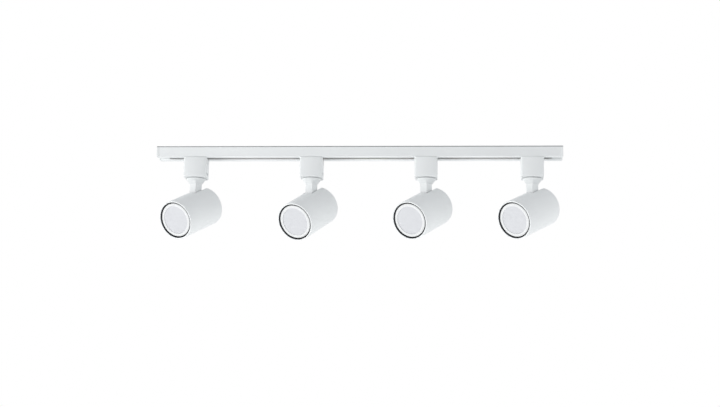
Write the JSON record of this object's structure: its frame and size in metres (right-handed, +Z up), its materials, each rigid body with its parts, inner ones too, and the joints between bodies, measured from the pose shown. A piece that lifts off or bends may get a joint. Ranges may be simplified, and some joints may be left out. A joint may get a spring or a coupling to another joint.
{
  "type": "track lighting fixture",
  "caption": "Straight ceiling track with a slotted underside and cylindrical spot heads that slide, swivel and tilt.",
  "frame": {"origin": "centre of the track's flat ceiling face", "axes": "+X along the track, -Y towards the front, +Z up out of the ceiling face"},
  "size_m": [0.61, 0.0992, 0.1458],
  "materials": {
    "powder_coated_aluminium": "matt white powder coat",
    "white_plastic": "satin moulded white",
    "insulator_pvc": "extruded pale grey",
    "terminal_plastic": "moulded ivory",
    "copper": "drawn copper",
    "zinc_plated_steel": "bright zinc plate",
    "ceramic": "glazed ceramic, off-white",
    "lamp_plastic": "moulded white",
    "frosted_lens": "frosted diffuser, unlit"
  },
  "bodies": {
    "track": {"track_channel": "powder_coated_aluminium", "insulator_front": "insulator_pvc", "insulator_back": "insulator_pvc", "bus_bars": "copper", "end_cap_left": "white_plastic", "end_cap_right": "white_plastic", "end_cap_screws": "zinc_plated_steel", "feed_terminal": "terminal_plastic"},
    "adapter_1": {"adapter_body_1": "white_plastic", "adapter_cover_1": "white_plastic", "contacts_1": "copper"},
    "lock_1": {"lock_slider_1": "white_plastic"},
    "arm_1": {"swivel_arm_1": "powder_coated_aluminium", "swivel_nut_1": "zinc_plated_steel"},
    "head_1": {"lamp_housing_1": "powder_coated_aluminium", "rear_cover_1": "powder_coated_aluminium", "tilt_bracket_1": "zinc_plated_steel", "tilt_pin_1": "zinc_plated_steel", "lamp_holder_1": "ceramic", "lamp_body_1": "lamp_plastic", "lamp_lens_1": "frosted_lens"},
    "adapter_2": {"adapter_body_2": "white_plastic", "adapter_cover_2": "white_plastic", "contacts_2": "copper"},
    "lock_2": {"lock_slider_2": "white_plastic"},
    "arm_2": {"swivel_arm_2": "powder_coated_aluminium", "swivel_nut_2": "zinc_plated_steel"},
    "head_2": {"lamp_housing_2": "powder_coated_aluminium", "rear_cover_2": "powder_coated_aluminium", "tilt_bracket_2": "zinc_plated_steel", "tilt_pin_2": "zinc_plated_steel", "lamp_holder_2": "ceramic", "lamp_body_2": "lamp_plastic", "lamp_lens_2": "frosted_lens"},
    "adapter_3": {"adapter_body_3": "white_plastic", "adapter_cover_3": "white_plastic", "contacts_3": "copper"},
    "lock_3": {"lock_slider_3": "white_plastic"},
    "arm_3": {"swivel_arm_3": "powder_coated_aluminium", "swivel_nut_3": "zinc_plated_steel"},
    "head_3": {"lamp_housing_3": "powder_coated_aluminium", "rear_cover_3": "powder_coated_aluminium", "tilt_bracket_3": "zinc_plated_steel", "tilt_pin_3": "zinc_plated_steel", "lamp_holder_3": "ceramic", "lamp_body_3": "lamp_plastic", "lamp_lens_3": "frosted_lens"},
    "adapter_4": {"adapter_body_4": "white_plastic", "adapter_cover_4": "white_plastic", "contacts_4": "copper"},
    "lock_4": {"lock_slider_4": "white_plastic"},
    "arm_4": {"swivel_arm_4": "powder_coated_aluminium", "swivel_nut_4": "zinc_plated_steel"},
    "head_4": {"lamp_housing_4": "powder_coated_aluminium", "rear_cover_4": "powder_coated_aluminium", "tilt_bracket_4": "zinc_plated_steel", "tilt_pin_4": "zinc_plated_steel", "lamp_holder_4": "ceramic", "lamp_body_4": "lamp_plastic", "lamp_lens_4": "frosted_lens"}
  },
  "joints": [
    {"name": "adapter_1_slide", "type": "slide", "parent": "track", "child": "adapter_1", "axis": [1, 0, 0], "range_m": [-0.03, 0.015]},
    {"name": "lock_1_slide", "type": "slide", "parent": "adapter_1", "child": "lock_1", "axis": [0, 0, -1], "range_m": [0, 0.0034], "stiffness_N_per_m": 300, "springref_m": -0.003},
    {"name": "arm_1_pan", "type": "hinge", "parent": "adapter_1", "child": "arm_1", "pos_m": [-0.24674, 0, -0.048], "axis": [0, 0, 1], "range_deg": [-145.5, 204.5]},
    {"name": "head_1_tilt", "type": "hinge", "parent": "arm_1", "child": "head_1", "pos_m": [-0.24674, 0, -0.0782], "axis": [0.8704, -0.4924, 0], "range_deg": [-25, 65]},
    {"name": "adapter_2_slide", "type": "slide", "parent": "track", "child": "adapter_2", "axis": [1, 0, 0], "range_m": [-0.015, 0.015]},
    {"name": "lock_2_slide", "type": "slide", "parent": "adapter_2", "child": "lock_2", "axis": [0, 0, -1], "range_m": [0, 0.0034], "stiffness_N_per_m": 300, "springref_m": -0.003},
    {"name": "arm_2_pan", "type": "hinge", "parent": "adapter_2", "child": "arm_2", "pos_m": [-0.07107, 0, -0.048], "axis": [0, 0, 1], "range_deg": [-147, 203]},
    {"name": "head_2_tilt", "type": "hinge", "parent": "arm_2", "child": "head_2", "pos_m": [-0.07107, 0, -0.0782], "axis": [0.8829, -0.4695, 0], "range_deg": [-28, 62]},
    {"name": "adapter_3_slide", "type": "slide", "parent": "track", "child": "adapter_3", "axis": [1, 0, 0], "range_m": [-0.015, 0.012]},
    {"name": "lock_3_slide", "type": "slide", "parent": "adapter_3", "child": "lock_3", "axis": [0, 0, -1], "range_m": [0, 0.0034], "stiffness_N_per_m": 300, "springref_m": -0.003},
    {"name": "arm_3_pan", "type": "hinge", "parent": "adapter_3", "child": "arm_3", "pos_m": [0.10126, 0, -0.048], "axis": [0, 0, 1], "range_deg": [-144, 206]},
    {"name": "head_3_tilt", "type": "hinge", "parent": "arm_3", "child": "head_3", "pos_m": [0.10126, 0, -0.0782], "axis": [0.8572, -0.515, 0], "range_deg": [-25, 65]},
    {"name": "adapter_4_slide", "type": "slide", "parent": "track", "child": "adapter_4", "axis": [1, 0, 0], "range_m": [-0.014, 0.009]},
    {"name": "lock_4_slide", "type": "slide", "parent": "adapter_4", "child": "lock_4", "axis": [0, 0, -1], "range_m": [0, 0.0034], "stiffness_N_per_m": 300, "springref_m": -0.003},
    {"name": "arm_4_pan", "type": "hinge", "parent": "adapter_4", "child": "arm_4", "pos_m": [0.25955, 0, -0.048], "axis": [0, 0, 1], "range_deg": [-136.5, 213.5]},
    {"name": "head_4_tilt", "type": "hinge", "parent": "arm_4", "child": "head_4", "pos_m": [0.25955, 0, -0.0782], "axis": [0.7826, -0.6225, 0], "range_deg": [-23.5, 66.5]}
  ]
}
